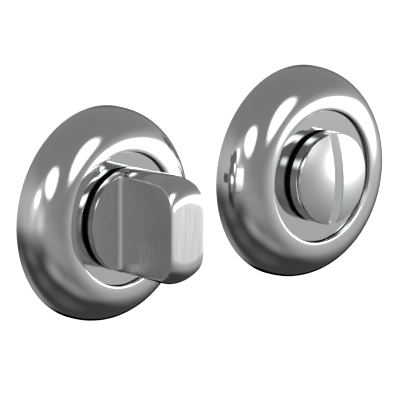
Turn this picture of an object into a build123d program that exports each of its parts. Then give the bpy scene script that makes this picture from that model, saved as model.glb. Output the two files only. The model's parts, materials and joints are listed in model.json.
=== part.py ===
from build123d import *
import os

# Bathroom thumb turn lock: the inside thumb turn and the outside coin release of one set.
# Each half is drawn as it would stand on a bench: its axis is +Z, the door face is Z = 0,
# and what reaches into the door lies below that. hang() then turns it so that its axis
# points to -Y, out of the door, with the bench's +Y pointing up. The origin of the part
# is where the turn's axis meets the door face. All lengths are in millimetres.

# The set
axis_spacing = 66.55          # from the turn's axis to the release's
running_clearance = 0.05      # between a piece that turns and one that stays
fit_clearance = 0.03          # between two fixed pieces that fit one another

# Rose cover, the domed ring that hides the fixings
rose_diameter = 52.0
rose_height = 10.65
rose_side_height = 1.6        # upright side before the dome starts
cover_wall = 1.5
opening_diameter = 32.6
lip_round = 0.45              # rounding of the crown into the opening
lip_depth = 2.1               # how far the turned-in lip runs back

# Face disc, the polished plate that closes the opening
face_disc_gap = 0.35          # shadow gap round the disc
face_disc_recess = 1.05       # below the crown of the cover
face_disc_thickness = 3.0
face_disc_bevel = 0.15

# Knob shank and what it runs in
shank_diameter = 14.0
shank_reach = 5.5             # behind the door face
bush_wall = 1.15
bush_flange_thickness = 0.95
bush_flange_inset = 0.9       # the flange is this much smaller than the knob above it

# Retaining parts in the recess behind the base plate
circlip_setback = 0.6         # from the door face to the circlip
circlip_thickness = 1.0
circlip_groove_depth = 0.3
circlip_width = 1.75          # radial, opposite the gap
circlip_lug_radius = 1.4
circlip_lug_hole = 1.3
circlip_lug_spread = 34.0     # angle between the two lugs
circlip_slit_angle = 17.0     # angle of the opening between them
washer_thickness = 0.8
washer_width = 2.4
washer_bore_clearance = 0.2
spring_strip = 0.4            # thickness of the curved spring washer
spring_rise = 0.85            # how far it is bowed
recess_clearance = 0.4        # round the circlip's lugs

# Base plate, the casting that is fixed to the door
plate_thickness = 3.0
plate_clearance = 0.2         # radial, inside the cover
plate_rim = 1.8
plate_core_depth = 1.6        # casting is hollowed this deep from behind
hub_inset = 1.05              # the hub is this much smaller than the disc it carries
hub_wall = 1.2                # between the hub's edge and the hollow round it
boss_radius = 5.4
fixing_inset = 5.3            # from the plate's edge to a fixing: the usual 38 mm between two
bolt_hole_diameter = 4.3
bolt_head_diameter = 8.0
wood_screw_hole_diameter = 4.0
wood_screw_head_diameter = 7.5
lug_diameter = 7.0
lug_length = 7.0

# Wire ring that snaps the cover to the base plate
clip_wire = 1.0
clip_height = 1.4
clip_gap_angle = 24.0

# Screws that hold the face disc
disc_screw_count = 2
disc_screw_angle = 45.0       # of the first one, between two fixings
disc_screw_diameter = 2.0
disc_screw_head_diameter = 4.0
disc_screw_bite = 1.8         # into the disc
screw_tip_clearance = 0.3

# Square spindle and its grub screw
spindle_size = 8.0
spindle_clearance = 0.05      # each side, in its socket
spindle_reach = 20.0          # behind the door face
turn_socket_top = 9.5         # above the door face
release_socket_top = 8.5
grub_diameter = 4.0
grub_length = 2.8
grub_height = -2.9            # its axis, measured from the door face
grub_hex_across = 2.0
grub_hex_depth = 1.4

# Thumb turn
turn_base_radius = 12.65
turn_base_thickness = 1.95
turn_base_bevel = 0.3
blade_radius = 13.15          # top and bottom of the blade, at the widest
blade_height = 19.3           # from the front of the base to the end
blade_root_thickness = 7.7
blade_end_thickness = 10.8
blade_root_fillet = 0.9
blade_corner_radius = 5.75
blade_edge_round = 0.45

# Coin release
release_base_radius = 11.25
release_side_height = 3.3
release_dome_height = 2.4
release_bevel = 0.2
coin_slot_width = 2.9
coin_slot_depth = 3.95        # from the top of the dome

# Threaded posts of the release, which the bolts from the turn screw into
post_diameter = 7.0
post_head_diameter = 8.4
post_head_thickness = 1.0
post_reach = 7.0              # behind the door face
post_thread_diameter = 3.3

# Sizes that follow from the ones above
rose_radius = rose_diameter / 2
opening_radius = opening_diameter / 2
cover_bore_radius = rose_radius - cover_wall
crown_radius = opening_radius + lip_round
face_disc_radius = opening_radius - face_disc_gap
face_height = rose_height - face_disc_recess
hub_radius = face_disc_radius - hub_inset
hub_height = face_height - face_disc_thickness
shank_radius = shank_diameter / 2
bush_bore_radius = shank_radius + running_clearance
bush_sleeve_radius = bush_bore_radius + bush_wall
knob_seat = face_height + bush_flange_thickness + running_clearance
circlip_top = circlip_setback + circlip_thickness
washer_bottom = circlip_top + running_clearance
washer_top = washer_bottom + washer_thickness
recess_depth = washer_top + fit_clearance + spring_rise + spring_strip + fit_clearance
groove_radius = shank_radius - circlip_groove_depth
circlip_lug_centre = shank_radius + circlip_lug_radius
recess_radius = circlip_lug_centre + circlip_lug_radius + recess_clearance
washer_bore_radius = shank_radius + washer_bore_clearance
plate_radius = cover_bore_radius - plate_clearance
fixing_radius = plate_radius - fixing_inset
clip_ring_radius = (plate_radius + cover_bore_radius) / 2
clip_half_groove = clip_wire / 2 + fit_clearance
disc_screw_circle = (recess_radius + hub_radius) / 2
disc_screw_reach = hub_height + disc_screw_bite
socket_size = spindle_size + 2 * spindle_clearance
turn_base_front = knob_seat + turn_base_thickness
blade_end = turn_base_front + blade_height
release_dome_top = knob_seat + release_side_height + release_dome_height
coin_slot_floor = release_dome_top - coin_slot_depth
through = 100.0               # longer than any piece, for cuts that go right through
same_place = 0.01             # nearer than this counts as level, or as the same height


# Bench helpers

def disc(radius, bottom, top):
    """A round bar on the axis, from one height to another."""
    return extrude(Plane.XY.offset(bottom) * Circle(radius), top - bottom)


def ring(outer, inner, bottom, top):
    """A tube on the axis."""
    return extrude(Plane.XY.offset(bottom) * (Circle(outer) - Circle(inner)), top - bottom)


def turned(outline):
    """Turns a closed outline of radius and height about the axis."""
    return revolve(Plane.XZ * make_face(outline), Axis.Z)


def countersunk_hole(hole_diameter, head_diameter, top):
    """The space of a countersunk screw whose head is flush with the height top."""
    depth = (head_diameter - hole_diameter) / 2
    head = Cone(hole_diameter / 2, head_diameter / 2, depth, align=(Align.CENTER, Align.CENTER, Align.MAX))
    return Pos(0, 0, top) * head + disc(hole_diameter / 2, -through, top)


def square_bar(size, bottom, top):
    """A square bar on the axis."""
    return extrude(Plane.XY.offset(bottom) * Rectangle(size, size), top - bottom)


def open_gap(angle, reach):
    """A wedge about +Y that opens a ring."""
    middle = Vector(0, reach)
    corners = [middle.rotate(Axis.Z, angle / 2), middle.rotate(Axis.Z, -angle / 2)]
    wedge = make_face(Polyline(Vector(0, 0), *corners, close=True))
    return extrude(wedge, through, both=True)


# Rose cover

def rose_cover():
    """The domed ring with its turned-in lip and the groove for the wire ring."""
    side_top = (rose_radius, rose_side_height)
    crown = (crown_radius, rose_height)
    lip_edge = (opening_radius, rose_height - lip_round)
    dome = TangentArc(side_top, crown, tangent=(0, 1))
    edge = TangentArc(crown, lip_edge, tangent=(-1, 0))
    sides = Polyline(lip_edge, (opening_radius, 0), (rose_radius, 0), side_top)
    shell = make_face([dome, edge, sides])

    ceiling = rose_height - cover_wall
    inner_side_top = (cover_bore_radius, rose_side_height)
    inner_crown = (crown_radius, ceiling)
    hollow_arc = TangentArc(inner_side_top, inner_crown, tangent=(0, 1))
    hollow_sides = Polyline(inner_crown, (0, ceiling), (0, 0), (cover_bore_radius, 0), inner_side_top)
    hollow = make_face([hollow_arc, hollow_sides])

    lip_centre = (opening_radius + cover_wall / 2, rose_height - lip_round - lip_depth / 2)
    lip = Pos(*lip_centre) * Rectangle(cover_wall, lip_depth)
    section = shell - (hollow - lip)
    cover = revolve(Plane.XZ * section, Axis.Z)
    groove = ring(clip_ring_radius + clip_half_groove, clip_ring_radius,
                  clip_height - clip_half_groove, clip_height + clip_half_groove)
    return cover - groove


def cover_clip():
    """The open wire ring that snaps into the grooves of cover and plate."""
    wire = Pos(0, 0, clip_height) * Torus(clip_ring_radius, clip_wire / 2)
    return wire - open_gap(clip_gap_angle, rose_radius)


# Base plates

def bolt_places():
    """The two fixings above and below the axis, which join the halves through the door."""
    return [Pos(0, fixing_radius), Pos(0, -fixing_radius)]


def wood_screw_places():
    """The two fixings on either side of the axis."""
    return [Pos(fixing_radius, 0), Pos(-fixing_radius, 0)]


def disc_screw_places():
    """The screws of the face disc, evenly spaced and clear of the fixings."""
    return PolarLocations(disc_screw_circle, disc_screw_count, start_angle=disc_screw_angle)


def plate_casting():
    """The casting that both halves share, before its upright fixings."""
    casting = disc(plate_radius, 0, plate_thickness) + disc(hub_radius, 0, hub_height)
    casting -= ring(through, clip_ring_radius - clip_half_groove,
                    clip_height - clip_half_groove, clip_height + clip_half_groove)

    core = ring(plate_radius - plate_rim, hub_radius + hub_wall, 0, plate_core_depth)
    for place in bolt_places() + wood_screw_places():
        core -= place * disc(boss_radius, 0, plate_core_depth)
    casting -= core

    casting -= disc(recess_radius, 0, recess_depth)
    casting -= disc(bush_sleeve_radius + fit_clearance, 0, hub_height)
    wood_screw = countersunk_hole(wood_screw_hole_diameter, wood_screw_head_diameter, plate_thickness)
    for place in wood_screw_places():
        casting -= place * wood_screw
    for place in disc_screw_places():
        casting -= place * disc_screw(fit_clearance)
    return casting


def turn_plate():
    """The thumb turn's plate: two lugs that locate it in the door, drilled for the bolts."""
    plate = plate_casting()
    bolt = countersunk_hole(bolt_hole_diameter, bolt_head_diameter, plate_thickness)
    for place in bolt_places():
        plate += place * disc(lug_diameter / 2, -lug_length, plate_core_depth)
        plate -= place * bolt
    return plate


def release_plate():
    """The release's plate: stepped holes that hold the threaded posts."""
    plate = plate_casting()
    for place in bolt_places():
        plate -= place * post_blank(fit_clearance)
    return plate


def post_blank(extra):
    """A post before it is drilled, grown all round by extra where it cuts its own seat."""
    head_bottom = plate_thickness - post_head_thickness - extra
    stem = disc(post_diameter / 2 + extra, -post_reach, plate_thickness)
    return stem + disc(post_head_diameter / 2 + extra, head_bottom, plate_thickness)


def threaded_posts():
    """The two posts, drilled through for their threads."""
    post = post_blank(0) - disc(post_thread_diameter / 2, -through, through)
    return [place * post for place in bolt_places()]


# Face disc, its screws and the bush

def disc_screw(extra):
    """A countersunk screw from behind, grown by extra to cut its own hole."""
    radius = disc_screw_diameter / 2
    head_radius = disc_screw_head_diameter / 2
    head_height = head_radius - radius
    shaft = radius + extra
    outline = Polyline((0, 0), (head_radius + extra, 0), (shaft, head_height),
                       (shaft, disc_screw_reach), (0, disc_screw_reach), close=True)
    return turned(outline)


def disc_screws():
    """The screws of one face disc."""
    return [place * disc_screw(0) for place in disc_screw_places()]


def face_disc():
    """The mirror-polished disc round the knob."""
    bore = bush_sleeve_radius + fit_clearance
    outline = Polyline((bore, hub_height), (face_disc_radius, hub_height),
                       (face_disc_radius, face_height - face_disc_bevel),
                       (face_disc_radius - face_disc_bevel, face_height), (bore, face_height), close=True)
    plate = turned(outline)
    tapped_hole = disc(disc_screw_diameter / 2 + fit_clearance, 0, disc_screw_reach + screw_tip_clearance)
    for place in disc_screw_places():
        plate -= place * tapped_hole
    return plate


def bush(flange_radius):
    """The black bush: a sleeve for the shank and a flange under the knob."""
    front = face_height + bush_flange_thickness
    outline = Polyline((bush_bore_radius, recess_depth), (bush_sleeve_radius, recess_depth),
                       (bush_sleeve_radius, face_height), (flange_radius, face_height),
                       (flange_radius, front), (bush_bore_radius, front), close=True)
    return turned(outline)


# Retaining parts

def circlip():
    """The retaining ring, thicker opposite its gap, with a drilled lug each side of it."""
    inner = groove_radius + fit_clearance
    slip = (circlip_width - circlip_lug_radius) / 2
    lug_places = [Rot(0, 0, side * circlip_lug_spread / 2) * Pos(0, circlip_lug_centre) for side in (1, -1)]
    flat = Pos(0, -slip) * Circle(inner + circlip_width - slip) - Circle(inner)
    for place in lug_places:
        flat += place * Circle(circlip_lug_radius)
    clip = extrude(Plane.XY.offset(circlip_setback) * flat, circlip_thickness)
    clip -= open_gap(circlip_slit_angle, through)
    for place in lug_places:
        clip -= place * disc(circlip_lug_hole / 2, 0, circlip_top)
    return clip


def thrust_washer():
    """The flat washer between the spring washer and the circlip."""
    return ring(washer_bore_radius + washer_width, washer_bore_radius, washer_bottom, washer_top)


def spring_washer():
    """A ring of strip bowed about one line, which bears on two edges and on its crest."""
    outer = washer_bore_radius + washer_width
    bow_radius = (outer ** 2 + spring_rise ** 2) / (2 * spring_rise)
    crest = washer_top + fit_clearance + spring_rise
    bow_centre = crest - bow_radius
    strip = Circle(bow_radius + spring_strip) - Circle(bow_radius)
    bowed = extrude(Plane.XZ * Pos(0, bow_centre) * strip, outer, both=True)
    return bowed & ring(outer, washer_bore_radius, washer_top, recess_depth)


# Knobs

def shank_cuts(socket_top):
    """What is cut from either shank: the circlip's groove and the square socket."""
    groove = ring(through, groove_radius, circlip_setback - fit_clearance, circlip_top + fit_clearance)
    return groove + square_bar(socket_size, -through, socket_top)


def flank_cut():
    """The space beside the blade, swept straight up and down the knob."""
    root = blade_root_thickness / 2
    end = blade_end_thickness / 2
    floor_edge = (root + blade_root_fillet, turn_base_front)
    flank_foot = (root, turn_base_front + blade_root_fillet)
    flank_end = (end, blade_end)
    fillet_arc = TangentArc(floor_edge, flank_foot, tangent=(-1, 0))
    flare = TangentArc(flank_foot, flank_end, tangent=(0, 1))
    rest = Polyline(flank_end, (end, through), (through, through), (through, turn_base_front), floor_edge)
    return extrude(Plane.XZ * make_face([fillet_arc, flare, rest]), through, both=True)


def thumb_turn():
    """The inside knob, turned from the bar and then milled on both flanks of its blade."""
    seat_edge = (turn_base_radius - turn_base_bevel, knob_seat)
    side_foot = (turn_base_radius, knob_seat + turn_base_bevel)
    corner_foot = (blade_radius, blade_end - blade_corner_radius)
    corner_top = (blade_radius - blade_corner_radius, blade_end)
    side = TangentArc(corner_foot, side_foot, tangent=(0, -1))
    corner = TangentArc(corner_foot, corner_top, tangent=(0, 1))
    rest = Polyline(corner_top, (0, blade_end), (0, -shank_reach), (shank_radius, -shank_reach),
                    (shank_radius, knob_seat), seat_edge, side_foot)
    knob = turned([side, corner, rest])

    cut = flank_cut()
    knob -= cut
    knob -= Rot(0, 0, 180) * cut
    knob = fillet(flank_edges(knob), blade_edge_round)
    knob -= shank_cuts(turn_socket_top)
    knob -= grub_screw_place() * disc(grub_diameter / 2 + fit_clearance, 0, shank_radius)
    return knob


def flank_edges(knob):
    """Every edge where a flank or the front of the base meets the turned skin."""
    seams = []
    for face in knob.faces().filter_by(is_milled):
        seams += [edge for edge in face.edges() if not is_root_seam(edge)]
    return seams


def is_milled(face):
    """A face the cutter left: to one side, in front of the base and short of the blade's end."""
    middle = face.center()
    to_one_side = abs(middle.X) > blade_root_fillet
    in_reach = turn_base_front - same_place < middle.Z < blade_end - same_place
    turned_skin = face.geom_type in (GeomType.TORUS, GeomType.SPHERE)
    return to_one_side and in_reach and not turned_skin


def is_root_seam(edge):
    """One of the straight seams inside a flank, between base, fillet and flare."""
    along = edge @ 1 - edge @ 0
    straight_up = abs(along.X) < same_place and abs(along.Z) < same_place
    return straight_up and (edge @ 0).Z < blade_end - same_place


def grub_screw_place():
    """Turns a bench bar so that it starts on the shank's axis and points down the knob."""
    return Pos(0, 0, grub_height) * Rot(90, 0, 0)


def spindle():
    """The square bar that works the lock in the door."""
    return square_bar(spindle_size, -spindle_reach, turn_socket_top - spindle_clearance)


def grub_screw():
    """The short socket screw that bears on a flat of the spindle."""
    tip = spindle_size / 2 + fit_clearance
    head = tip + grub_length
    screw = disc(grub_diameter / 2, tip, head)
    hexagon = RegularPolygon(grub_hex_across / 2, 6, major_radius=False)
    screw -= extrude(Plane.XY.offset(head - grub_hex_depth) * hexagon, grub_hex_depth)
    return grub_screw_place() * screw


def coin_release():
    """The outside knob: a low dome with a slot for a coin."""
    seat_edge = (release_base_radius - release_bevel, knob_seat)
    side_foot = (release_base_radius, knob_seat + release_bevel)
    side_top = (release_base_radius, knob_seat + release_side_height - release_bevel)
    dome_foot = (release_base_radius - release_bevel, knob_seat + release_side_height)
    dome_top = (0, release_dome_top)
    dome = TangentArc(dome_top, dome_foot, tangent=(1, 0))
    rest = Polyline(dome_foot, side_top, side_foot, seat_edge, (shank_radius, knob_seat),
                    (shank_radius, -shank_reach), (0, -shank_reach), dome_top)
    knob = turned([dome, rest])
    knob -= shank_cuts(release_socket_top)
    slot = Rectangle(coin_slot_width, through)
    knob -= extrude(Plane.XY.offset(coin_slot_floor) * slot, through)
    return knob


# Assembly

def hang(piece, axis_x):
    """Turns a bench piece so that its axis points out of the door, at its place along X."""
    return Pos(axis_x, 0, 0) * Rot(90, 0, 0) * piece


def save(name, piece, axis_x):
    """Writes one node; a list of pieces becomes one node of separate solids."""
    if isinstance(piece, list):
        hung = Compound(children=[hang(each, axis_x) for each in piece])
    else:
        hung = hang(piece, axis_x)
    hung.label = name
    export_step(hung, "parts/" + name + ".step")


os.makedirs("parts", exist_ok=True)

halves = {"turn": 0.0, "release": axis_spacing}
plates = {"turn": turn_plate(), "release": release_plate()}
flanges = {"turn": turn_base_radius - bush_flange_inset, "release": release_base_radius - bush_flange_inset}

for half, axis_x in halves.items():
    save(half + "_rose_cover", rose_cover(), axis_x)
    save(half + "_base_plate", plates[half], axis_x)
    save(half + "_face_disc", face_disc(), axis_x)
    save(half + "_bush", bush(flanges[half]), axis_x)
    save(half + "_spring_washer", spring_washer(), axis_x)
    save(half + "_thrust_washer", thrust_washer(), axis_x)
    save(half + "_circlip", circlip(), axis_x)
    save(half + "_cover_clip", cover_clip(), axis_x)
    save(half + "_disc_screws", disc_screws(), axis_x)

save("thumb_turn", thumb_turn(), halves["turn"])
save("spindle", spindle(), halves["turn"])
save("spindle_grub_screw", grub_screw(), halves["turn"])
save("coin_release", coin_release(), halves["release"])
save("release_threaded_posts", threaded_posts(), halves["release"])
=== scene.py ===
# %% [markdown]
# # Bathroom thumb turn lock in polished chrome
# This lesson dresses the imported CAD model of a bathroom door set. The left half has the thumb turn
# that works the lock from inside, the right half a slotted knob that a coin turns in an emergency.
# The CAD nodes are already in place and at their real size, so every new piece only has to be made
# in the same frame: X to the right, -Y out of the door, Z up, all in metres.

# %% Load the frame
import bpy
import bmesh
import json
import math
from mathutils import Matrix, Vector


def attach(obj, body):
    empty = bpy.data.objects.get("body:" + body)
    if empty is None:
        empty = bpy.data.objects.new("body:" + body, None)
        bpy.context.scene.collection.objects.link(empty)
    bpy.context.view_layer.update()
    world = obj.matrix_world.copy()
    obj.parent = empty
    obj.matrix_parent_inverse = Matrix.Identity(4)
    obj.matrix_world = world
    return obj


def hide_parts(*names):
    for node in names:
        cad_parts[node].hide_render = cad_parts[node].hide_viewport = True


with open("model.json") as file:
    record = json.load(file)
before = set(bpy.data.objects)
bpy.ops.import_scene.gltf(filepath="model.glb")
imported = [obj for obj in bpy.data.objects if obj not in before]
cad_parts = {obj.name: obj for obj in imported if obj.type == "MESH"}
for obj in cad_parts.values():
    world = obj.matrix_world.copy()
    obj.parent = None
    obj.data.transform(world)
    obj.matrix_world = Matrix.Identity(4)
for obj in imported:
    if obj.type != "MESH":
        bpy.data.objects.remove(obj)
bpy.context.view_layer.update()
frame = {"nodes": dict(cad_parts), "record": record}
nodes = frame["nodes"]

# %% [markdown]
# Workshop drawings are in millimetres, so the sizes below are too, and one factor turns them into
# Blender's metres. Heights are measured from the door face, out of the door. They are the sizes of
# the CAD source, written again here because this file may only read the frame; where the photograph
# shows one more closely, the closer value is used.

# %% Sizes of the set
MM = 0.001
close, tiny = 0.01, 0.001     # what counts as the same place, in millimetres
axis_x = {"turn": 0.0, "release": 66.55}
rose_radius = 26.0
rose_height = 10.65
rose_side_height = 1.6
cover_wall = 1.5
opening_radius = 16.3
knob_seat = 10.6
shank_radius = 7.0
shank_end = -5.5
groove_radius = 6.7
groove_heights = (0.57, 1.63)


def place(radius, height, centre_x):
    """A point of a turned outline, on the side of its axis that faces +X."""
    return Vector((centre_x + radius, -height, 0.0)) * MM


print("release axis at", axis_x["release"], "mm")

# %% [markdown]
# Everything round in this set was turned on a lathe. Blender's lathe is the spin tool: a chain of
# points is drawn by extruding one point on and on, and the chain is spun once about the axis.
# An arc that leaves a point in a known direction is worked out as on a drawing board, so the outline
# keeps the exact radii of the section. Spinning leaves a seam, which is merged, and the normals are
# turned outwards afterwards.

# %% Helpers for turned pieces
def select_nothing():
    bpy.ops.object.select_all(action="DESELECT")


def select_only(piece):
    select_nothing()
    bpy.context.view_layer.objects.active = piece
    piece.select_set(True)


def arc_from(start, heading, end, steps):
    """Points of the arc that leaves start along heading and ends at end, without its start."""
    start, heading, end = Vector(start), Vector(heading).normalized(), Vector(end)
    across = Vector((-heading.y, heading.x))
    chord = end - start
    radius = chord.length_squared / (2 * chord.dot(across))
    centre = start + across * radius
    turn = -2 * heading.angle_signed(chord)
    arm = start - centre
    points = []
    for step in range(1, steps + 1):
        angle = turn * step / steps
        cos, sin = math.cos(angle), math.sin(angle)
        turned = Vector((arm.x * cos - arm.y * sin, arm.x * sin + arm.y * cos))
        points.append(tuple(centre + turned))
    return points


def spun(name, outline, centre_x, segments=256):
    """Draws a closed outline of (radius, height) and spins it into a solid."""
    select_nothing()
    bpy.ops.mesh.primitive_plane_add(size=MM)
    piece = bpy.context.object
    piece.name = name
    bpy.ops.object.mode_set(mode="EDIT")
    bpy.ops.mesh.merge(type="CENTER")
    here = place(*outline[0], centre_x)
    bpy.ops.transform.translate(value=here)
    for radius, height in outline[1:]:
        there = place(radius, height, centre_x)
        bpy.ops.mesh.extrude_vertices_move(TRANSFORM_OT_translate={"value": there - here})
        here = there
    bpy.ops.mesh.select_all(action="SELECT")
    bpy.ops.mesh.spin(steps=segments, angle=math.tau, center=(centre_x * MM, 0, 0), axis=(0, 1, 0))
    bpy.ops.mesh.select_all(action="SELECT")
    bpy.ops.mesh.remove_doubles(threshold=tiny * MM)
    bpy.ops.mesh.normals_make_consistent(inside=False)
    bpy.ops.object.mode_set(mode="OBJECT")
    print(name, len(piece.data.polygons), "faces")
    return piece


# %% [markdown]
# The rose cover is pressed from brass sheet and chrome plated: an upright side, a quarter-round dome
# and a lip that turns in to the opening. The CAD mesh could be smoothed, but a polished dome shows
# every facet in its reflections, so the section is drawn afresh and spun in many small steps. Its
# back edge is broken, as the edge of a pressing is, and the inside has the groove that the wire ring
# snaps into.

# %% Rose covers
lip_round = 0.25
lip_bottom = 8.1
crown_radius = opening_radius + lip_round
cover_bore_radius = rose_radius - cover_wall
lip_outer_radius = opening_radius + cover_wall
back_edge_break = 0.15
wire_groove_radius = 24.93
wire_groove = (0.87, 1.93)
dome_steps, lip_steps, inside_steps = 40, 6, 24


def cover_outline():
    """The cover's section: up the outside, over the crown, and back down the inside."""
    side_top = (rose_radius, rose_side_height)
    crown = (crown_radius, rose_height)
    lip_edge = (opening_radius, rose_height - lip_round)
    outline = [(rose_radius - back_edge_break, 0), (rose_radius, back_edge_break), side_top]
    outline += arc_from(side_top, (0, 1), crown, dome_steps)
    outline += arc_from(crown, (-1, 0), lip_edge, lip_steps)
    outline += [(opening_radius, lip_bottom), (lip_outer_radius, lip_bottom)]
    bore_top = (cover_bore_radius, rose_side_height)
    inside = arc_from(bore_top, (0, 1), (crown_radius, rose_height - cover_wall), inside_steps)
    outline += [p for p in reversed(inside) if p[0] > lip_outer_radius and p[1] > wire_groove[1]]
    outline += [(cover_bore_radius, wire_groove[1]), (wire_groove_radius, wire_groove[1])]
    outline += [(wire_groove_radius, wire_groove[0]), (cover_bore_radius, wire_groove[0])]
    outline += [(cover_bore_radius, 0), (rose_radius - back_edge_break, 0)]
    return outline


covers = {half: spun(half + "_domed_cover", cover_outline(), axis_x[half]) for half in axis_x}

# %% [markdown]
# Inside each opening lies a flat disc, lapped to a mirror. A hair of shadow runs round it, so it needs
# a properly rounded rim and a closer fit than the CAD disc has. A bevel can't work on the loose
# triangles of a CAD node, so the disc is spun afresh. Its tapped holes come later, with the other cuts.

# %% Face discs
disc_gap = 0.2
disc_edge = 0.1
disc_edge_steps = 4
disc_front, disc_back, disc_bore = 9.6, 6.6, 8.23
disc_radius = opening_radius - disc_gap


def disc_outline():
    """The disc's section, clockwise from its front edge at the bore."""
    edge_start = (disc_radius - disc_edge, disc_front)
    edge_end = (disc_radius, disc_front - disc_edge)
    outline = [(disc_bore, disc_front), edge_start]
    outline += arc_from(edge_start, (1, 0), edge_end, disc_edge_steps)
    outline += [(disc_radius, disc_back), (disc_bore, disc_back), (disc_bore, disc_front)]
    return outline


discs = {half: spun(half + "_lapped_disc", disc_outline(), axis_x[half]) for half in axis_x}

# %% [markdown]
# The thumb turn starts as a turned blank and is then milled on both flanks, so that a blade stands on a
# round base. A cut blank would leave slivers along the cut, where a rounded edge can't be made cleanly.
# So it is modelled the other way about: a block is added at the knob's size, divided into rows and
# columns, and its points are set on the turned skin and the milled flanks. Rows then run along the
# axis and columns across it, and every edge between skin and flank is one clean line of points.
# What follows from the drawing is worked out first: the centre of the blade's rounded corner, and the
# large arcs of its side and its flare.

# %% Sizes of the thumb turn
turn_base_radius = 12.65
turn_base_bevel = 0.3
turn_base_front = 12.55
blade_radius = 13.15
blade_end = 31.85
blade_root = 7.7 / 2
blade_tip = 10.8 / 2
root_fillet = 1.2
corner_radius = 5.75
end_crown_radius = 4000.0     # the end is all but flat
edge_drop = 0.9               # how far the polished edges lie inside the turned skin
sag_start, sag_rise = 9.0, 6.0
foot = blade_root + root_fillet

corner_centre_radius = blade_radius - corner_radius
crown_centre = blade_end - end_crown_radius
corner_reach = end_crown_radius - corner_radius
corner_centre = crown_centre + math.sqrt(corner_reach ** 2 - corner_centre_radius ** 2)
crown_angle = math.asin(corner_centre_radius / corner_reach)
end_rim = end_crown_radius * math.sin(crown_angle)
end_rim_height = crown_centre + end_crown_radius * math.cos(crown_angle)
side_rise = corner_centre - knob_seat - turn_base_bevel
side_swell = blade_radius - turn_base_radius
side_arc = (side_rise ** 2 + side_swell ** 2) / (2 * side_swell)
flare_rise = blade_end - turn_base_front - root_fillet
flare_swell = blade_tip - blade_root
flare_arc = (flare_rise ** 2 + flare_swell ** 2) / (2 * flare_swell)


def skin_radius(height):
    """Radius of the turned side, below the rounded corner."""
    return blade_radius - side_arc + math.sqrt(side_arc ** 2 - (corner_centre - height) ** 2)


def half_thickness(height):
    """Half the blade's thickness: a fillet at its root and then a slow flare."""
    if height < turn_base_front:
        return foot
    rise = height - turn_base_front
    if rise < root_fillet:
        return foot - math.sqrt(root_fillet ** 2 - (root_fillet - rise) ** 2)
    return blade_root + flare_arc - math.sqrt(flare_arc ** 2 - (rise - root_fillet) ** 2)


def end_height(radius):
    """Height of the all but flat end at a distance from the axis."""
    return crown_centre + math.sqrt(end_crown_radius ** 2 - radius ** 2)


def smooth_step(value):
    """Runs from 0 to 1 with a soft start and a soft end."""
    value = min(max(value, 0.0), 1.0)
    return value * value * (3 - 2 * value)


def sag(height):
    """How far the edges lie inside the skin: it starts in the base's side and ends in the corner."""
    rise = smooth_step((height - sag_start) / sag_rise)
    fall = 1 - smooth_step((height - corner_centre) / (end_rim_height - corner_centre))
    return edge_drop * rise * fall


print("end rim", round(end_rim, 2), "at", round(end_rim_height, 2))

# %% [markdown]
# Rows are listed once, from the seat to the rim of the end: the broken edge of the base, its side, the
# root fillet, the flared flank, and the rounded corner. The row at the front of the base is there
# twice, because on the flanks it is the outer and the inner edge of a flat face, and on the skin it is
# one line. Columns across a flank are spaced by angle, so that the round base stays round. A wider gap
# is left between the last column and the edge, where the rounding will need its room.

# %% Rows and columns of the knob
bevel_rows = []
for angle in (0, 30, 60, 90):
    sin, cos = math.sin(math.radians(angle)), math.cos(math.radians(angle))
    bevel_rows.append((turn_base_radius - turn_base_bevel * (1 - sin),
                       knob_seat + turn_base_bevel * (1 - cos)))
side_rows = [(skin_radius(h), h) for h in (11.5, 12.0)]
front_rows = [(skin_radius(turn_base_front), turn_base_front)] * 2
fillet_rows = [turn_base_front + root_fillet * (1 - math.cos(math.radians(a)))
               for a in (15, 30, 45, 60, 75, 90)]
flank_steps, corner_steps = 22, 20
flank_rise = corner_centre - fillet_rows[-1]
flank_rows = [fillet_rows[-1] + flank_rise * s / flank_steps for s in range(1, flank_steps + 1)]
blade_rows = [(skin_radius(h), h) for h in fillet_rows + flank_rows]
corner_sweep = math.pi / 2 - crown_angle
corner_rows = [(corner_centre_radius + corner_radius * math.cos(corner_sweep * s / corner_steps),
                corner_centre + corner_radius * math.sin(corner_sweep * s / corner_steps))
               for s in range(1, corner_steps + 1)]
rows = bevel_rows + side_rows + front_rows + blade_rows + corner_rows
front_row = len(bevel_rows) + len(side_rows)

skin_columns, inner_columns = 12, 44
edge_gap = 6.0                # degrees between the last column and the edge
tip_angle = math.degrees(math.acos(foot / skin_radius(turn_base_front)))
last_angle = tip_angle - edge_gap
column_angles = [-tip_angle]
column_angles += [last_angle * (2 * s / inner_columns - 1) for s in range(inner_columns + 1)]
column_angles += [tip_angle]
flank_shares = [math.sin(math.radians(a)) / math.sin(math.radians(tip_angle))
                for a in column_angles]
flank_columns = len(flank_shares) - 1
print(len(rows), "rows,", skin_columns, "columns on the skin,", flank_columns, "on a flank")

# %% [markdown]
# Edges of the block are chosen by the direction they run in and subdivided, once for each direction,
# which turns the six faces into grids. The back face is taken away, because the shank will go on from
# its rim. Each point then knows its row and its columns from where it lies in the block.

# %% The block and its grid
def add_block(middle, size):
    """Adds a block by its middle and size in millimetres, both held in its mesh."""
    select_nothing()
    bpy.ops.mesh.primitive_cube_add(size=1, location=[c * MM for c in middle],
                                    scale=[s * MM for s in size])
    bpy.ops.object.transform_apply()
    return bpy.context.object


def choose_edges(piece, wanted):
    """Selects the edges for which wanted is true, in edit mode."""
    mesh = bmesh.from_edit_mesh(piece.data)
    for item in [*mesh.verts, *mesh.edges, *mesh.faces]:
        item.select = False
    mesh.select_mode = {"EDGE"}
    chosen = [edge for edge in mesh.edges if wanted(edge)]
    for edge in chosen:
        edge.select_set(True)
    mesh.select_flush_mode()
    bmesh.update_edit_mesh(piece.data)
    return len(chosen)


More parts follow.
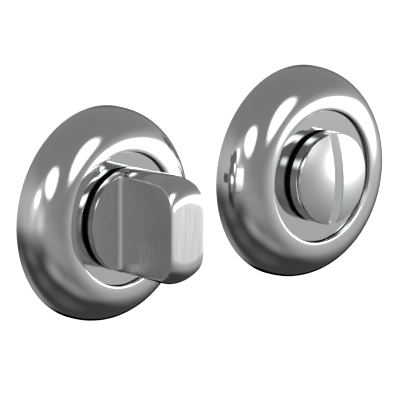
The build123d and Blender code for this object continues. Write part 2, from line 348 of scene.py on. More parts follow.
def runs_along(axis):
    """A test for edges that run along one axis."""
    def wanted(edge):
        step = edge.verts[1].co - edge.verts[0].co
        return abs(step[axis]) > 0.9 * step.length
    return wanted


block_middle = (knob_seat + end_rim_height) / 2
block_depth = end_rim_height - knob_seat
knob = add_block((0, -block_middle, 0), (2 * foot, block_depth, 2 * blade_radius))
knob.name = "thumb_turn_knob"
bpy.ops.object.mode_set(mode="EDIT")
for axis, cuts in ((0, skin_columns - 1), (1, len(rows) - 2), (2, flank_columns - 1)):
    choose_edges(knob, runs_along(axis))
    bpy.ops.mesh.subdivide(number_cuts=cuts)
mesh = bmesh.from_edit_mesh(knob.data)
back_faces = [f for f in mesh.faces if all(-v.co.y / MM < knob_seat + close for v in f.verts)]
bmesh.ops.delete(mesh, geom=back_faces, context="FACES")
bmesh.update_edit_mesh(knob.data)
bpy.ops.object.mode_set(mode="OBJECT")
print("block", len(knob.data.vertices), "points, open at the back")

# %% [markdown]
# A point on the block's top or bottom belongs to the turned skin, a point on its sides to a flank, and
# a point on its front to the end. The three rules meet in the same places along their shared edges, so
# the surface stays closed. In the rounded corner the rows crowd together on the skin, so on the flank
# they are spread evenly, and the last strip is left wide enough for the rounded edge. The higher the
# power of a share, the sooner the effect of an edge fades inwards.

# %% Setting the points
last_strip = 0.5
skin_power, flank_power, corner_power = 3, 8, 40


def edge_reach(radius, height):
    """How far up the flank's edge lies from the middle of the knob."""
    return math.sqrt(radius ** 2 - half_thickness(height) ** 2) - sag(height)


def skin_point(row, share, side):
    """A point of the turned skin; share runs from -1 to 1 between the flanks."""
    radius, height = rows[row]
    x = share * half_thickness(height)
    z = math.sqrt(radius ** 2 - x ** 2) - sag(height) * abs(share) ** skin_power
    return x, height, side * z


def flank_point(row, share, side):
    """A point of a flank; share runs from -1 at its bottom edge to 1 at its top edge."""
    radius, height = rows[row]
    if row <= front_row:
        z = share * math.sqrt(radius ** 2 - foot ** 2)
        x = math.sqrt(radius ** 2 - z ** 2)
        return side * x, height, z - math.copysign(sag(height) * abs(share) ** flank_power, share)
    z = share * edge_reach(radius, height)
    step = row - len(rows) + corner_steps + 1
    if step > 0:
        end_z = share * edge_reach(end_rim, end_rim_height)
        end = end_height(math.hypot(half_thickness(end_rim_height), end_z))
        if step == corner_steps:
            height = end
        else:
            inner = corner_centre + (end - last_strip - corner_centre) * step / (corner_steps - 1)
            on_edge = abs(share) ** corner_power
            height = on_edge * height + (1 - on_edge) * inner
    return side * half_thickness(height), height, z


def end_point(share_x, share_z):
    """A point of the end, by its share of the way to each edge."""
    x = share_x * half_thickness(end_rim_height)
    z = share_z * math.sqrt(end_rim ** 2 - x ** 2)
    height = end_height(math.hypot(x, z))
    if abs(share_x) == 1:
        x = share_x * half_thickness(height)
    return x, height, z


last_row = len(rows) - 1
for vertex in knob.data.vertices:
    across = round((vertex.co.x / MM + foot) / (2 * foot) * skin_columns)
    row = round((-vertex.co.y / MM - knob_seat) / block_depth * last_row)
    up = round((vertex.co.z / MM + blade_radius) / (2 * blade_radius) * flank_columns)
    share_x = 2 * across / skin_columns - 1
    share_z = flank_shares[up]
    if up in (0, flank_columns):
        x, height, z = skin_point(row, share_x, 1 if up else -1)
    elif across in (0, skin_columns):
        x, height, z = flank_point(row, share_z, 1 if across else -1)
    else:
        x, height, z = end_point(share_x, share_z)
    vertex.co = Vector((x, -height, z)) * MM
knob.data.update()
print("knob set, highest point", round(max(-v.co.y for v in knob.data.vertices) / MM, 2), "mm")

# %% [markdown]
# The open rim is carried on inwards and back into the door as the shank: extrude, scale about the
# axis, extrude again. The groove near its end holds the circlip.

# %% The shank
end_chamfer = 0.3


def carry_on(outline, centre_x):
    """Extrudes the chosen ring through a list of (radius, height)."""
    for (radius, height), (next_radius, next_height) in zip(outline, outline[1:]):
        bpy.ops.mesh.extrude_region_move(
            TRANSFORM_OT_translate={"value": (0, (height - next_height) * MM, 0)})
        scale = next_radius / radius
        bpy.ops.transform.resize(value=(scale, 1, scale), center_override=(centre_x * MM, 0, 0))


shank_outline = [(shank_radius, knob_seat),
                 (shank_radius, groove_heights[1]), (groove_radius, groove_heights[1]),
                 (groove_radius, groove_heights[0]), (shank_radius, groove_heights[0]),
                 (shank_radius, shank_end + end_chamfer), (shank_radius - end_chamfer, shank_end)]
bpy.ops.object.mode_set(mode="EDIT")
bpy.ops.mesh.select_all(action="SELECT")
bpy.ops.mesh.remove_doubles(threshold=tiny * MM)
choose_edges(knob, lambda edge: edge.is_boundary)
carry_on([(turn_base_radius - turn_base_bevel, knob_seat)] + shank_outline, axis_x["turn"])
bpy.ops.mesh.edge_face_add()
bpy.ops.mesh.select_all(action="SELECT")
bpy.ops.mesh.normals_make_consistent(inside=False)
bpy.ops.object.mode_set(mode="OBJECT")
print("knob with shank", len(knob.data.polygons), "faces")

# %% [markdown]
# Sharp edges don't exist on a plated part: the plater polishes them first, and the chrome shows a thin
# bright line there. So every edge in front of the base that turns sharply is chosen by its angle and
# rounded with a bevel of three segments. It is done before the socket is cut, whose edges stay sharp.

# %% Rounded edges of the blade
crease_angle = 35
edge_round = 0.2
edge_segments = 3


def is_crease(edge):
    """A sharp edge of the head of the knob."""
    ahead = all(-v.co.y / MM > turn_base_front - close for v in edge.verts)
    return ahead and edge.is_manifold and edge.calc_face_angle(0) > math.radians(crease_angle)


bpy.ops.object.mode_set(mode="EDIT")
creases = choose_edges(knob, is_crease)
bpy.ops.mesh.bevel(offset=edge_round * MM, offset_type="OFFSET", segments=edge_segments,
                   profile=0.5, clamp_overlap=False)
bpy.ops.object.mode_set(mode="OBJECT")
print(creases, "edges rounded")

# %% [markdown]
# The square socket for the spindle, the hole of the grub screw and the tapped holes of the discs are
# cut with boolean modifiers, as their walls are flat or plain and nothing smooth has to run across the
# cut.

# %% Socket and screw holes
socket_size, socket_start = 8.1, shank_end - 2
socket_tops = {"turn": 9.5, "release": 8.5}
screw_circle, screw_angles = 12.55, (45, 225)
tapped_radius, tapped_depth = 1.03, 2.1
grub_height, grub_hole_radius, grub_hole_start = -2.9, 2.03, 1.5


def cut_away(piece, tool):
    """Cuts the tool's body out of the piece and removes the tool."""
    cutter = piece.modifiers.new("cut", "BOOLEAN")
    cutter.operation = "DIFFERENCE"
    cutter.solver = "EXACT"
    cutter.object = tool
    select_only(piece)
    bpy.ops.object.modifier_apply(modifier=cutter.name)
    bpy.data.objects.remove(tool)


def cut_socket(piece, half):
    """Cuts the square socket, from behind the shank up to its floor."""
    top = socket_tops[half]
    cut_away(piece, add_block((axis_x[half], -(socket_start + top) / 2, 0),
                              (socket_size, top - socket_start, socket_size)))


def drill(piece, radius, depth, middle, turned, vertices):
    """Cuts a round hole that runs along Z, or turned by some degrees about X."""
    select_nothing()
    bpy.ops.mesh.primitive_cylinder_add(
        vertices=vertices, radius=radius * MM, depth=depth * MM,
        rotation=(math.radians(turned), 0, 0), location=[c * MM for c in middle])
    bpy.ops.object.transform_apply()
    cut_away(piece, bpy.context.object)


def on_screw_circle(angle):
    """How far a disc screw lies beside and above its rose's axis."""
    angle = math.radians(angle)
    return screw_circle * math.cos(angle), screw_circle * math.sin(angle)


cut_socket(knob, "turn")
for half, disc in discs.items():
    for angle in screw_angles:
        beside, above = on_screw_circle(angle)
        drill(disc, tapped_radius, 2 * tapped_depth, (axis_x[half] + beside, -disc_back, above), 90, 32)
drill(knob, grub_hole_radius, shank_radius,
      (0, -grub_height, -(shank_radius / 2 + grub_hole_start)), 0, 48)
print("knob cut,", len(knob.data.polygons), "faces")

# %% [markdown]
# The coin release is turned from a bar, like the blank of the thumb turn: a plain side, a low dome with
# a rounded edge, and the same shank. Its section starts and ends on the axis, so the spin closes it.

# %% The turned release
release_radius = 11.25
release_side_top = knob_seat + 3.65
release_top = release_side_top + 2.15
release_bevel = 0.2
edge_heading = (1, -0.12)     # how the rounded edge leaves the dome
release_dome_steps, release_edge_steps = 26, 4


def release_outline():
    """The release's section, from the top of the dome to the middle of the shank's end."""
    top = (0, release_top)
    dome_foot = (release_radius - release_bevel, release_side_top)
    side_top = (release_radius, release_side_top - release_bevel)
    outline = [top] + arc_from(top, (1, 0), dome_foot, release_dome_steps)
    outline += arc_from(dome_foot, edge_heading, side_top, release_edge_steps)
    outline += [(release_radius, knob_seat + release_bevel), (release_radius - release_bevel, knob_seat)]
    return outline + shank_outline + [(0, shank_end)]


release = spun("coin_release_knob", release_outline(), axis_x["release"])
cut_socket(release, "release")

# %% [markdown]
# The slot is sawn across the dome with a slitting saw. A boolean would leave slivers where the slot
# meets the fine rings of the dome, so it is bisected along the slot's two sides and along
# its floor, what lies between is taken out, and floor and walls are filled in. Two more bisecting
# lines beside each wall give rows of points that are lowered a little, which rounds the slot's edges.

# %% The coin slot
slot_half = 1.45
slot_floor = 12.35
slot_edge_round = 0.15
floor_play, wall_play = 0.002, 0.02
middle_x = axis_x["release"] * MM


def bisect_all(piece, point, normal):
    bpy.ops.mesh.select_all(action="SELECT")
    bpy.ops.mesh.bisect(plane_co=point, plane_no=normal, threshold=0.0001 * MM)


def in_slot(face):
    """A face between the slot's walls and above its floor."""
    middle = face.calc_center_median()
    between = abs(middle.x - middle_x) < (slot_half - tiny) * MM
    return between and -middle.y > (slot_floor + tiny) * MM


select_only(release)
bpy.ops.object.mode_set(mode="EDIT")
for side in (-1, 1):
    for angle in (0, 45, 90):
        reach = 1 - math.sin(math.radians(angle))
        across = middle_x + side * (slot_half + slot_edge_round * reach) * MM
        bisect_all(release, (across, 0, 0), (1, 0, 0))
bisect_all(release, (0, -slot_floor * MM, 0), (0, 1, 0))

mesh = bmesh.from_edit_mesh(release.data)
moves = {}
for vertex in mesh.verts:
    beyond = abs(vertex.co.x - middle_x) / MM - slot_half
    beside_slot = -tiny < beyond < slot_edge_round - tiny
    if beside_slot and -vertex.co.y >= (slot_floor + close) * MM:
        share = 1 - beyond / slot_edge_round
        lower = slot_edge_round * (1 - math.sqrt(1 - share ** 2))
        moves[vertex] = -vertex.normal * lower * MM
bmesh.ops.delete(mesh, geom=[f for f in mesh.faces if in_slot(f)], context="FACES")
for vertex, move in moves.items():
    vertex.co += Vector((0, move.y, move.z))
bmesh.update_edit_mesh(release.data)


def floor_end(edge):
    """Part of the slot's open rim, level with its floor."""
    level = all(abs(-v.co.y / MM - slot_floor) < floor_play for v in edge.verts)
    return edge.is_boundary and level


choose_edges(release, floor_end)
bpy.ops.mesh.edge_face_add()
for side in (-1, 1):
    def wall_rim(edge):
        """Part of the open rim on one side of the slot."""
        wall = side * slot_half
        level = all(abs((v.co.x - middle_x) / MM - wall) < wall_play for v in edge.verts)
        return edge.is_boundary and level
    choose_edges(release, wall_rim)
    bpy.ops.mesh.edge_face_add()
bpy.ops.mesh.select_all(action="SELECT")
bpy.ops.mesh.normals_make_consistent(inside=False)
open_edges = choose_edges(release, lambda edge: not edge.is_manifold)
bpy.ops.object.mode_set(mode="OBJECT")
print("release", len(release.data.polygons), "faces,", open_edges, "open edges")

# %% [markdown]
# The spindle is a length of drawn square bar. Drawn bar never has a knife edge, so the plain bar of the
# CAD model is made again as a block with every edge broken.

# %% The spindle
spindle_size, spindle_front, spindle_back, spindle_break = 8.0, 9.45, -20.0, 0.35
spindle = add_block((0, -(spindle_front + spindle_back) / 2, 0),
                    (spindle_size, spindle_front - spindle_back, spindle_size))
spindle.name = "square_spindle"
bpy.ops.object.mode_set(mode="EDIT")
bpy.ops.mesh.select_all(action="SELECT")
bpy.ops.mesh.bevel(offset=spindle_break * MM, segments=edge_segments, profile=0.5)
bpy.ops.object.mode_set(mode="OBJECT")
print("spindle", len(spindle.data.polygons), "faces")

# %% [markdown]
# Two countersunk screws hold each face disc from behind. One is turned on the axis and gets its cross
# recess from two crossed bars; the others are copies of it, moved to their places in edit mode.
# Their threads are left plain, because the plate hides them.

# %% Disc screws
head_radius, head_edge = 2.0, 0.05
screw_radius, screw_tip, tip_break = 1.0, 8.4, 0.2
recess_width, recess_reach, recess_depth = 0.5, 1.15, 0.8
screw_outline = [(0, screw_tip), (screw_radius - tip_break, screw_tip),
                 (screw_radius, screw_tip - tip_break), (screw_radius, head_radius - screw_radius),
                 (head_radius - head_edge, head_edge), (head_radius - 2 * head_edge, 0), (0, 0)]
screw = spun("disc_screw", screw_outline, 0, segments=48)
for wide, high in ((2 * recess_reach, recess_width), (recess_width, 2 * recess_reach)):
    cut_away(screw, add_block((0, 0, 0), (wide, 2 * recess_depth, high)))


def screws_at(name, centre_x):
    """Two copies of the screw on their circle, joined into one piece."""
    copies = []
    for angle in screw_angles:
        copy = screw.copy()
        copy.data = screw.data.copy()
        bpy.context.scene.collection.objects.link(copy)
        select_only(copy)
        bpy.ops.object.mode_set(mode="EDIT")
        bpy.ops.mesh.select_all(action="SELECT")
        beside, above = on_screw_circle(angle)
        bpy.ops.transform.translate(value=((centre_x + beside) * MM, 0, above * MM))
        bpy.ops.object.mode_set(mode="OBJECT")
        copies.append(copy)
    copies[0].select_set(True)
    bpy.ops.object.join()
    copies[1].name = name
    return copies[1]


screw_pairs = {half: screws_at(half + "_countersunk_screws", axis_x[half]) for half in axis_x}
bpy.data.objects.remove(screw)
print(len(screw_pairs), "pairs of screws")

# %% [markdown]
# New pieces are shaded smooth up to an angle, and face areas then weigh the normals, so that a flat
# flank stays flat right up to its rounded edge.

# %% Smooth shading
smooth_angle = 30
area_weight = 80


def shade(piece):
    select_only(piece)
    bpy.ops.object.shade_smooth_by_angle(angle=math.radians(smooth_angle))
    weigh = piece.modifiers.new("weigh", "WEIGHTED_NORMAL")
    weigh.keep_sharp = True
    weigh.weight = area_weight
    bpy.ops.object.modifier_apply(modifier=weigh.name)


new_pieces = [*covers.values(), *discs.values(), *screw_pairs.values(), spindle, knob, release]
for piece in new_pieces:
    shade(piece)
print(len(new_pieces), "pieces shaded")

# %% [markdown]
# Each new piece rides on the body of the CAD node it stands for, so it turns when the joint turns.

# %% Riding on the frame
for half, cover in covers.items():
    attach(cover, "roses")
    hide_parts(half + "_rose_cover")
for half, disc in discs.items():
    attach(disc, "roses")
    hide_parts(half + "_face_disc")
for half, pair in screw_pairs.items():
    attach(pair, "roses")
    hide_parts(half + "_disc_screws")
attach(spindle, "turn")
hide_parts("spindle")
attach(knob, "turn")
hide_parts("thumb_turn")
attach(release, "release")
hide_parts("coin_release")
print(len(new_pieces), "new pieces ride on the frame")

# %% [markdown]
# Materials are built from nodes. A colour is written as the hex value a paint chart would give and one
# function turns it into the linear values that the shader wants. Another adds a node with its settings
# and links, so each recipe reads as a list. Patterns are noise on Object coordinates, whose features
# are given in millimetres.

# %% Helpers for materials
noise_low, noise_high = 0.3, 0.7     # soft noise hardly leaves these values


def linear(hex_colour):
    """An sRGB hex colour as linear RGBA."""
    values = [int(hex_colour[i:i + 2], 16) / 255 for i in (1, 3, 5)]
    return [v / 12.92 if v <= 0.04045 else ((v + 0.055) / 1.055) ** 2.4 for v in values] + [1.0]


def add_node(tree, kind, settings=None, **inputs):
    """Adds a node; each input is a value or another node's output, i0 is the first input."""
    node = tree.nodes.new(kind)
    for name, value in (settings or {}).items():
        setattr(node, name, value)
    for name, value in inputs.items():
        numbered = name[0] == "i" and name[1:].isdigit()
        socket = node.inputs[int(name[1:]) if numbered else name.replace("_", " ")]
        if isinstance(value, bpy.types.NodeSocket):
            tree.links.new(value, socket)
        else:
            socket.default_value = value
    return node


def new_material(name, base, metallic, roughness):
    """A material with its principled shader, ready for patterns."""
    material = bpy.data.materials.new(name)
    material.use_nodes = True
    shader = material.node_tree.nodes["Principled BSDF"]
    shader.inputs["Base Color"].default_value = linear(base)
    shader.inputs["Metallic"].default_value = metallic
    shader.inputs["Roughness"].default_value = roughness
    return material, material.node_tree, shader


def spread(tree, pattern, low, high):
    """A noise pattern as a range of values."""
    return add_node(tree, "ShaderNodeMapRange", i0=pattern, i1=noise_low, i2=noise_high,
                    i3=low, i4=high).outputs[0]


def marks(tree, size_mm, stretch=(1, 1, 1), detail=2.0):
    """Noise whose features are size_mm across, drawn out along an axis by stretch."""
    where = add_node(tree, "ShaderNodeTexCoord").outputs["Object"]
    scale = [1 / (size_mm * MM * s) for s in stretch]
    drawn = add_node(tree, "ShaderNodeMapping", i0=where, i3=scale).outputs[0]
    return add_node(tree, "ShaderNodeTexNoise", i0=drawn, Scale=1.0, Detail=detail).outputs[0]


def raise_marks(tree, shader, pattern, strength, depth_mm):
    """Lets the pattern stand out of the surface by a bump."""
    bump = add_node(tree, "ShaderNodeBump", Strength=strength, Distance=depth_mm * MM, Height=pattern)
    tree.links.new(bump.outputs[0], shader.inputs["Normal"])


print("white is", linear("#FFFFFF"))

# %% [markdown]
# The roses are polished chrome on brass. A buffed dome isn't a perfect mirror: fine swirls from the mop
# soften what it reflects, and large soft patches vary that a little. The noise therefore drives the
# roughness in two sizes, and a bump of well under a hundredth of a millimetre gives the swirls. Real
# swirls are finer than a pixel, so theirs are drawn about a third of a millimetre wide. The
# finishes differ only in roughness and shade.

# %% Polished chrome
patch_mm, swirl_mm, swirl_share = 6.0, 0.35, 0.25
swirl_strength, swirl_depth = 0.004, 0.002


def polished_chrome(name, base, low, high):
    """Chrome plate polished to a roughness from low to high."""
    material, tree, shader = new_material(name, base, 1.0, low)
    patches = marks(tree, patch_mm)
    swirls = marks(tree, swirl_mm, detail=3.0)
    mixed = add_node(tree, "ShaderNodeMix", {"data_type": "FLOAT"}, i0=swirl_share, i2=patches,
                     i3=swirls).outputs[0]
    tree.links.new(spread(tree, mixed, low, high), shader.inputs["Roughness"])
    raise_marks(tree, shader, swirls, swirl_strength, swirl_depth)
    return material


# Buffed with a mop: clear reflections with a soft rim.
cover_chrome = polished_chrome("buffed_chrome_plate", "#CECFCF", 0.06, 0.12)
# Lapped flat: an even mirror, which shows the grey of the studio.
disc_chrome = polished_chrome("mirror_chrome_plate", "#BABDBC", 0.03, 0.06)
# Turned fine and polished: sharp bright streaks along the side.
knob_chrome = polished_chrome("turned_chrome_plate", "#CBCCCC", 0.03, 0.06)
# Satin: the release's dome runs softly from light to dark and mirrors no shapes.
dome_chrome = polished_chrome("satin_chrome_plate", "#D3D5D4", 0.31, 0.35)
# Lapped by hand: the blade's rounded skin blurs what it mirrors a little.
skin_chrome = polished_chrome("lapped_chrome_plate", "#CBCCCC", 0.12, 0.16)
for cover in covers.values():
    cover.data.materials.append(cover_chrome)
for disc in discs.values():
    disc.data.materials.append(disc_chrome)
print("polished chrome on", len(covers), "covers and", len(discs), "discs")

# %% [markdown]
# The milled faces of the knob were brushed before plating, with strokes that run straight up and down.
# Brushing smears a reflection across the strokes. Noise drawn out forty times along Z gives the strokes
# their shape; real ones are a few hundredths of a millimetre wide, and these are drawn two to five
# times as wide so that they show.

# %% Brushed chrome
stroke_stretch = (1, 1, 40)
stroke_depth = 0.003


def brushed_chrome(name, base, low, high, strength, width_mm=0.07):
    """Chrome plate over upright brush strokes."""
    material, tree, shader = new_material(name, base, 1.0, low)
    strokes = marks(tree, width_mm, stroke_stretch, detail=3.0)
    tree.links.new(spread(tree, strokes, low, high), shader.inputs["Roughness"])
    raise_marks(tree, shader, strokes, strength, stroke_depth)
    return material


# Flanks: dull grey with a hint of upright strokes.
flank_brushed = brushed_chrome("brushed_chrome_plate", "#CBCDCC", 0.27, 0.29, 0.04)
# End: brighter, with strokes that can be counted.
end_brushed = brushed_chrome("finely_brushed_chrome_plate", "#C8CAC9", 0.13, 0.21, 0.2, width_mm=0.2)
# Slot: matt as the saw left it, and coloured very pale: painted light that lifts the walls out of the
# slot's shade.
slot_painted_light = brushed_chrome("sawn_chrome_painted_light", "#F0F1F1", 0.6, 0.7, 0.15)
for finish in (knob_chrome, flank_brushed, end_brushed, skin_chrome):
    knob.data.materials.append(finish)
for finish in (knob_chrome, dome_chrome, slot_painted_light):
    release.data.materials.append(finish)
print(len(knob.data.materials), "finishes on the knob,", len(release.data.materials), "on the release")

# %% [markdown]
# Each tool reached only its own faces, so a face gets its finish by its place and the way it looks:
# straight out of the door at the end and the front of the base, sideways on the flanks.

# %% Where each finish goes
TURNED, BRUSHED, END, SKIN = range(4)
DOME, SAWN = 1, 2
near = 0.05
straight, mainly, sideways, level = 0.985, 0.9, 0.75, 0.3     # limits for one part of a unit normal


def is_end(face):
    """A face of the knob's flat end."""
    return -face.normal.y > straight and -face.center.y / MM > end_rim_height - near


def is_milled(face):
    """A face of the flanks or of the front of the base."""
    middle, normal = face.center / MM, face.normal
    if -middle.y < turn_base_front - near:
        return False
    on_front = -normal.y > mainly and -middle.y < turn_base_front + 2 * near
    on_flank = abs(normal.x) > sideways and abs(middle.x) < blade_tip + 2 * near
    low_down = abs(middle.x) < foot + close and -middle.y < turn_base_front + root_fillet
    return on_front or on_flank or (low_down and abs(normal.z) < level)


def knob_finish(face):
    if is_end(face):
        return END
    if is_milled(face):
        return BRUSHED
    return SKIN if -face.center.y / MM > turn_base_front + close else TURNED


def release_finish(face):
    height = -face.center.y / MM
    beside = abs(face.center.x / MM - axis_x["release"]) < slot_half + close
    if beside and height > slot_floor - close:
        return SAWN
    return DOME if height > release_side_top - close and -face.normal.y > mainly else TURNED


for face in knob.data.polygons:
    face.material_index = knob_finish(face)
for face in release.data.polygons:
    face.material_index = release_finish(face)
print(sum(f.material_index != TURNED for f in knob.data.polygons), "faces of the blade finished")

# %% [markdown]
# Inside the roses there is no plating: base plates of die-cast zinc, zinc-plated steel pins and
# washers, dark spring steel, a black oxide screw and black nylon bushes. The bushes are made nearly
# black and almost without sheen, as painted shade for the dark gap under each knob. Each has the grain
# of how it was made, at the size it really has.

# %% Materials of the inner pieces
grain_strength = 0.6


def grained(name, base, metallic, low, high, size_mm, depth_mm, stretch=(1, 1, 1), darker=None):
    """A material with a grain in its roughness, its surface and, towards darker, its colour."""
    material, tree, shader = new_material(name, base, metallic, low)
    grain = marks(tree, size_mm, stretch, detail=4.0)
    tree.links.new(spread(tree, grain, low, high), shader.inputs["Roughness"])
    if darker:
        tint = add_node(tree, "ShaderNodeMix", {"data_type": "RGBA"}, i6=linear(base),
                        i0=spread(tree, grain, 0.0, 1.0), i7=linear(darker)).outputs[2]
        tree.links.new(tint, shader.inputs["Base Color"])
    raise_marks(tree, shader, grain, grain_strength, depth_mm)
    return material


inner_finishes = {
    # Die-cast zinc: dull, with the cloudy skin of the mould.
    "cast_zinc": grained("die_cast_zinc", "#A9ACAE", 1.0, 0.42, 0.6, 0.5, 0.02, darker="#8F9294"),
    # Zinc-plated steel: bluish grey, with the drawing marks of bar and wire.
    "plated_steel": grained("zinc_plated_steel", "#B9BCC0", 1.0, 0.24, 0.38, 0.12, 0.004,
                            stretch=(1, 8, 1), darker="#A2A6AC"),
    # Oiled spring steel: dark grey with a soft sheen.
    "spring_steel": grained("oiled_spring_steel", "#5E5F61", 1.0, 0.3, 0.45, 0.15, 0.004,
                            darker="#4A4A4C"),
    # Black oxide: nearly black, and still a metal in its highlights.
    "black_oxide_steel": grained("black_oxide_steel", "#2A2A2B", 1.0, 0.35, 0.5, 0.1, 0.003),
    # Moulded nylon, made nearly black: painted shade for the dark gap round the back of each knob.
    "black_nylon": grained("black_nylon_painted_gap_shade", "#040404", 0.0, 0.6, 0.75, 0.2, 0.004),
    "mirror_chrome": disc_chrome,
    "chromed_brass": cover_chrome,
    "chromed_knob": knob_chrome,
}
# Hardly any sheen: the bush keeps the painted shade of the gap under the knob.
nylon = inner_finishes["black_nylon"].node_tree.nodes["Principled BSDF"]
nylon.inputs["Specular IOR Level"].default_value = 0.12     # moulded matt, it swallows most light
for part in frame["record"]["subparts"]:
    mesh_data = nodes[part["node"]].data
    mesh_data.materials.clear()
    mesh_data.materials.append(inner_finishes[part["material_slot"]])
for piece in (*screw_pairs.values(), spindle):
    piece.data.materials.clear()
    piece.data.materials.append(inner_finishes["plated_steel"])
print(len(inner_finishes), "finishes on", len(nodes), "nodes")

# %% [markdown]
# The photograph's set stands free on white. The world is white to the camera and to anything that
# reflects or looks through it, and a level grey to everything else. A pale floor lies some way below
# the set; its colour is mixed with white for the camera only, so it takes a shadow and needs no
# stronger lamp.

# %% World and floor
world_grey = 0.6
floor_height, floor_radius, floor_glow = -0.14, 1.2, 0.75

scene = bpy.context.scene
scene.view_settings.view_transform = "Standard"
world = bpy.data.worlds.new("studio")
scene.world = world
world.use_nodes = True
tree = world.node_tree
backdrop = tree.nodes["Background"]
rays = add_node(tree, "ShaderNodeLightPath").outputs
seen = rays["Is Camera Ray"]
for kind in ("Is Glossy Ray", "Is Transmission Ray"):
    seen = add_node(tree, "ShaderNodeMath", {"operation": "MAXIMUM"}, i0=seen, i1=rays[kind]).outputs[0]
shown = add_node(tree, "ShaderNodeMapRange", i0=seen, i3=world_grey, i4=1.0)
backdrop.inputs["Color"].default_value = linear("#FFFFFF")
tree.links.new(shown.outputs[0], backdrop.inputs["Strength"])

select_nothing()
bpy.ops.mesh.primitive_circle_add(vertices=96, radius=floor_radius, fill_type="NGON",
                                  location=(0.033, 0, floor_height))
floor = bpy.context.object
floor.name = "floor"
bpy.ops.object.transform_apply()
# White board, painted matt: it only shows the soft shadow that falls on it.
material, tree, shader = new_material("matt_white_board", "#D8D8D8", 0.0, 0.9)
glow = add_node(tree, "ShaderNodeEmission", Color=linear("#FFFFFF"))
camera_only = add_node(tree, "ShaderNodeLightPath").outputs["Is Camera Ray"]
strength = add_node(tree, "ShaderNodeMath", {"operation": "MULTIPLY"}, i0=camera_only, i1=floor_glow)
tree.links.new(strength.outputs[0], glow.inputs["Strength"])
both = add_node(tree, "ShaderNodeAddShader", i0=shader.outputs[0], i1=glow.outputs[0])
tree.links.new(both.outputs[0], tree.nodes["Material Output"].inputs["Surface"])
floor.data.materials.append(material)
floor.visible_glossy = False
print("floor at", floor_height, "m")

# %% [markdown]
# Chrome has hardly a colour of its own: it shows the studio. So the light is a large tent round the
# set, grey from the horizon up and darker below, with soft boxes in it. Each soft box is an oval with a
# soft edge, given by its direction, its half width and height in degrees, its tilt, its softness and
# its strength. A black flag takes light away, so its strength is below zero. The tent is a sphere that
# the camera doesn't see, and its glow is worked out from the direction of each of its points.

# %% The light tent
tent_radius = 8


def towards(azimuth, elevation):
    """Unit direction; azimuth 0 is straight out of the door and grows towards +X."""
    a, e = math.radians(azimuth), math.radians(elevation)
    return Vector((math.sin(a) * math.cos(e), -math.cos(a) * math.cos(e), math.sin(e)))


select_nothing()
bpy.ops.mesh.primitive_uv_sphere_add(segments=64, ring_count=32, radius=tent_radius)
tent = bpy.context.object
tent.name = "light_tent"
tent.visible_camera = False
material = bpy.data.materials.new("light_tent")
material.use_nodes = True
tree = material.node_tree
tree.nodes.remove(tree.nodes["Principled BSDF"])
where = add_node(tree, "ShaderNodeTexCoord").outputs["Object"]
direction = add_node(tree, "ShaderNodeVectorMath", {"operation": "NORMALIZE"}, i0=where).outputs[0]


def reckon(operation, a, b=0.0):
    """The result of a math node."""
    return add_node(tree, "ShaderNodeMath", {"operation": operation}, i0=a, i1=b).outputs[0]


def along(vector):
    """How far a point's direction goes along a vector."""
    return add_node(tree, "ShaderNodeVectorMath", {"operation": "DOT_PRODUCT"}, i0=direction,
                    i1=vector).outputs[1]


print("tent", tent_radius, "m round the set")

# %% [markdown]
# The grey of the tent itself is a colour ramp over the height of a point. Its stops are given by
# their elevation in degrees.

# %% The tent's own grey
tent_levels = [(-90, 0.118), (-70, 0.063), (-50, 0.064), (-40, 0.072), (-32, 0.089), (-24, 0.077),
               (-16, 0.12), (-8, 0.314), (0, 0.312), (10, 0.344), (20, 0.32), (40, 0.31),
               (60, 0.30), (90, 0.295)]
point_height = add_node(tree, "ShaderNodeMapRange", i0=along((0, 0, 1)), i1=-1.0, i2=1.0).outputs[0]
ramp = add_node(tree, "ShaderNodeValToRGB", i0=point_height)
stops = ramp.color_ramp.elements
while len(stops) < len(tent_levels):
    stops.new(1.0)
for stop, (elevation, value) in zip(stops, tent_levels):
    stop.position = (math.sin(math.radians(elevation)) + 1) / 2
    stop.color = (value, value, value, 1)
print(len(stops), "levels of grey")

# %% [markdown]
# The places and shapes of the soft boxes were found from the highlights on the two covers, whose
# domes show nearly the whole studio. An oval's edge is where its two shares, across and up, make a
# distance of one; the softness is the width of the band round it in which the glow fades.

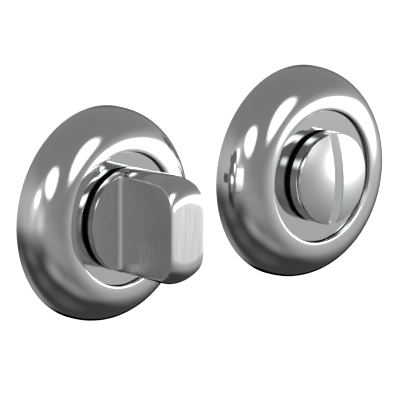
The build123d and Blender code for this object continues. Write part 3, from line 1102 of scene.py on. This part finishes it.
# %% The soft boxes
# azimuth, elevation, half width, half height, tilt, softness, strength
soft_boxes = [
    (-54, 32.5, 14.7, 10, -46, 1.1, 5.0),  # lamp at the upper left, over the camera
    (9.3, 31, 11.3, 15.5, -25, 1.1, 5.0),  # lamp above the middle
    (58.5, 0, 24.3, 9.3, 3, 0.8, 6.0),  # wide lamp on the right
    (-86.5, 18, 5.8, 6.5, -21, 1.1, 5.0),  # small lamp on the far left
    (-67.7, -2, 9.8, 9.6, -32, 1.7, 0.32),  # faint patch below it
    (-87, 17, 9.7, 17.7, -26, 1.9, 0.56),  # the glow round it
    (-99.6, 3, 51.5, 25.2, -14, 0.9, 0.31),  # pale left side of the tent
    (61, -11.3, 37.5, 25.4, 1, 1.1, 0.54),  # pale side under the right lamp
    (-17.5, -25.6, 37.6, 12.4, -3, 1.25, 0.31),  # pale band below the horizon
    (6, -49.6, 23, 9, 15, 1.9, 0.31),  # two pale patches low down
    (-42, -46, 13.4, 10, -12, 1.9, 0.31),
    (-106, -62, 12.2, 10, 0, 1.9, 0.08),  # two faint ones on the far left
    (-109, -36, 12, 7.7, -21, 1.9, 0.1),
    (180, -8, 28, 35, 0, 0.8, 0.8),  # soft box behind the set
    (140, -10, 26, 28, 0, 0.8, -0.2)]  # black flag beside it
glow_sum = ramp.outputs[0]
for azimuth, elevation, half_width, half_height, tilt, softness, power in soft_boxes:
    centre = towards(azimuth, elevation)
    side = Vector((0, 0, 1)).cross(centre).normalized()
    upright = centre.cross(side)
    lean = math.radians(tilt)
    wide = (side * math.cos(lean) + upright * math.sin(lean)) / math.sin(math.radians(half_width))
    high = (upright * math.cos(lean) - side * math.sin(lean)) / math.sin(math.radians(half_height))
    across, up = along(wide), along(high)
    squares = reckon("ADD", reckon("MULTIPLY", across, across), reckon("MULTIPLY", up, up))
    inside = add_node(tree, "ShaderNodeMapRange", {"interpolation_type": "SMOOTHSTEP"},
                      i0=reckon("SQRT", squares), i1=1 + softness / 2, i2=1 - softness / 2,
                      i3=0.0, i4=power).outputs[0]
    ahead = reckon("GREATER_THAN", along(centre))
    glow_sum = reckon("ADD", glow_sum, reckon("MULTIPLY", inside, ahead))
glow = add_node(tree, "ShaderNodeEmission", Strength=glow_sum)
tree.links.new(glow.outputs[0], tree.nodes["Material Output"].inputs["Surface"])
tent.data.materials.append(material)
print(len(soft_boxes), "soft boxes in the tent")

# %% [markdown]
# The camera looks from the left and a little from above, from far away through a long lens, as for a
# catalogue picture: the two roses look almost the same size.

# %% Camera
azimuth, elevation, distance = -44.387, 12.793, 2.42142
aim = Vector((0.036715, 0.0015, -0.0030795))
back = towards(azimuth, elevation)
camera = bpy.data.objects.new("camera", bpy.data.cameras.new("camera"))
scene.collection.objects.link(camera)
camera.data.sensor_width = 36
camera.data.lens = 900
camera.data.clip_start = 0.1
camera.data.clip_end = 20
camera.location = aim + back * distance
camera.rotation_mode = "QUATERNION"
camera.rotation_quaternion = (-back).to_track_quat("-Z", "Y")
scene.camera = camera
print("camera", distance, "m from the set")
